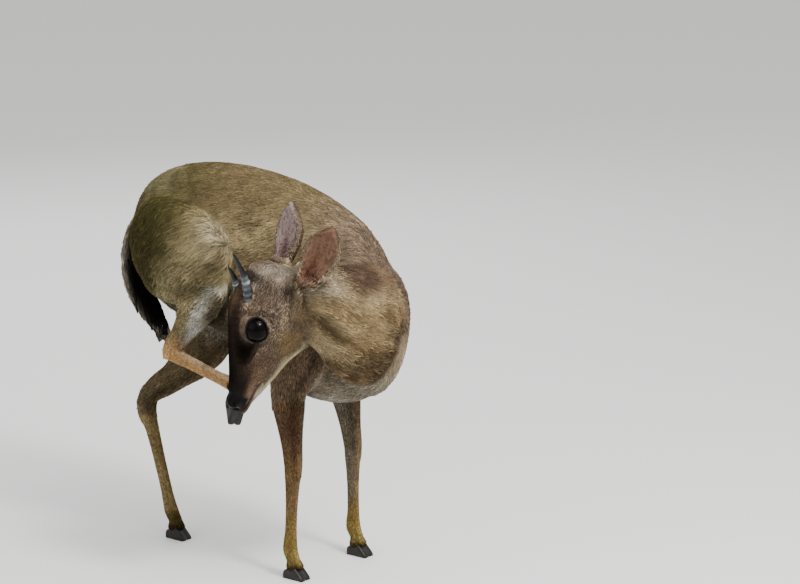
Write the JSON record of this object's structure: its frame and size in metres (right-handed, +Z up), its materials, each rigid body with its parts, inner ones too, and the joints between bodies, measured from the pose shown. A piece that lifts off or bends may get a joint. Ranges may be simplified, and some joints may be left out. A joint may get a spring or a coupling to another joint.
{
  "type": "male suni antelope, a still model",
  "caption": "Life-size still model of a male suni antelope that turns its head back along its right side to meet a lifted hind hoof, with ringed horns and cloven hooves.",
  "frame": {"origin": "on the floor, under the middle of the animal's bounding box", "axes": "+X to the front of the trunk, +Y to the animal's left, +Z up"},
  "size_m": [0.3424, 0.1984, 0.3794],
  "materials": {
    "back": "short grizzled grey-brown hair",
    "face": "very short brown hair with a dark blaze",
    "leg": "short tan hair, pale on the inside",
    "ear": "thin pink-brown skin with short hair",
    "tail": "long dark hair with a pale fringe",
    "horn": "ringed grey-black horn",
    "hoof": "black horn with a soft shine",
    "nose": "moist black skin",
    "eye": "polished, nearly black"
  },
  "bodies": {
    "root": {"cannon_fore_left": "leg", "cannon_fore_right": "leg", "cannon_hind_left": "leg", "cannon_hind_right": "leg", "ear_left": "ear", "ear_right": "ear", "eye_left": "eye", "eye_right": "eye", "forearm_fore_left": "leg", "forearm_fore_right": "leg", "head": "face", "hoof_fore_left_inner": "hoof", "hoof_fore_left_outer": "hoof", "hoof_fore_right_inner": "hoof", "hoof_fore_right_outer": "hoof", "hoof_hind_left_inner": "hoof", "hoof_hind_left_outer": "hoof", "hoof_hind_right_inner": "hoof", "hoof_hind_right_outer": "hoof", "horn_left": "horn", "horn_right": "horn", "neck_base": "back", "neck_top": "face", "nose": "nose", "pastern_fore_left": "leg", "pastern_fore_right": "leg", "pastern_hind_left": "leg", "pastern_hind_right": "leg", "shank_hind_left": "leg", "shank_hind_right": "leg", "tail": "tail", "thigh_hind_left": "back", "thigh_hind_right": "back", "torso_front": "back", "torso_rear": "back", "upper_arm_fore_left": "back", "upper_arm_fore_right": "back"}
  },
  "joints": []
}
